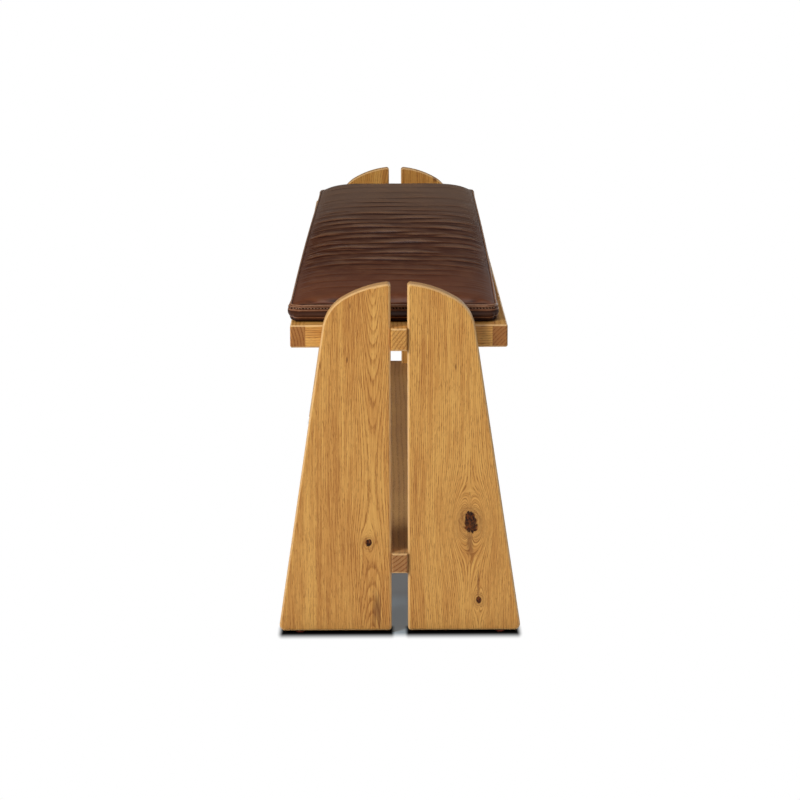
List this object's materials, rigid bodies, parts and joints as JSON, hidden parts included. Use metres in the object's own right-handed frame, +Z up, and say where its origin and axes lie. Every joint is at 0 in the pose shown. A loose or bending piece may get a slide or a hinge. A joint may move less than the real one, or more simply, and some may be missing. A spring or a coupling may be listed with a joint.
{
  "type": "bench",
  "caption": "Backless oak bench with leaning round-topped slab ends, through-tongued rails, a lower stretcher board and a loose leather cushion.",
  "frame": {"origin": "on the floor under the middle of the bench", "axes": "+X along the bench, +Y from front to back, +Z up"},
  "size_m": [1.51, 0.354, 0.5201],
  "materials": {
    "oak_slab": "satin",
    "oak_rail": "satin",
    "oak_board": "satin",
    "slat_wood": "matte",
    "ledger_wood": "matte",
    "dowel_wood": "matte",
    "bolt_steel": "satin",
    "screw_steel": "satin",
    "nail_steel": "satin",
    "insert_brass": "satin",
    "glide_plastic": "satin",
    "cushion_leather": "satin",
    "cushion_filling": "matte",
    "zip_tape": "matte"
  },
  "bodies": {
    "bench": {"end_slab_left_front": "oak_slab", "end_slab_left_back": "oak_slab", "end_slab_right_front": "oak_slab", "end_slab_right_back": "oak_slab", "seat_side_rail_front": "oak_rail", "seat_side_rail_back": "oak_rail", "seat_end_rail_left_front": "oak_rail", "seat_end_rail_left_back": "oak_rail", "seat_end_rail_right_front": "oak_rail", "seat_end_rail_right_back": "oak_rail", "seat_centre_rail": "oak_rail", "seat_slat_01": "slat_wood", "seat_slat_02": "slat_wood", "seat_slat_03": "slat_wood", "seat_slat_04": "slat_wood", "seat_slat_05": "slat_wood", "seat_slat_06": "slat_wood", "seat_slat_07": "slat_wood", "seat_slat_08": "slat_wood", "seat_slat_09": "slat_wood", "seat_slat_10": "slat_wood", "seat_slat_11": "slat_wood", "slat_ledger_front": "ledger_wood", "slat_ledger_back": "ledger_wood", "lower_stretcher": "oak_board", "floor_glide_left_front": "glide_plastic", "floor_glide_left_back": "glide_plastic", "floor_glide_right_front": "glide_plastic", "floor_glide_right_back": "glide_plastic", "corner_dowels": "dowel_wood", "centre_dowels": "dowel_wood", "stretcher_dowels": "dowel_wood", "end_bolts": "bolt_steel", "bolt_washers": "bolt_steel", "slat_screws": "screw_steel", "ledger_screws": "screw_steel", "glide_nails": "nail_steel", "threaded_inserts": "insert_brass"},
    "cushion": {"cushion_top_panel": "cushion_leather", "cushion_core": "cushion_filling", "cushion_bottom_panel": "cushion_leather", "cushion_zip": "zip_tape"}
  },
  "joints": [
    {"name": "cushion_lift", "type": "slide", "parent": "bench", "child": "cushion", "axis": [0, 0, 1], "range_m": [0, 0.15]}
  ]
}
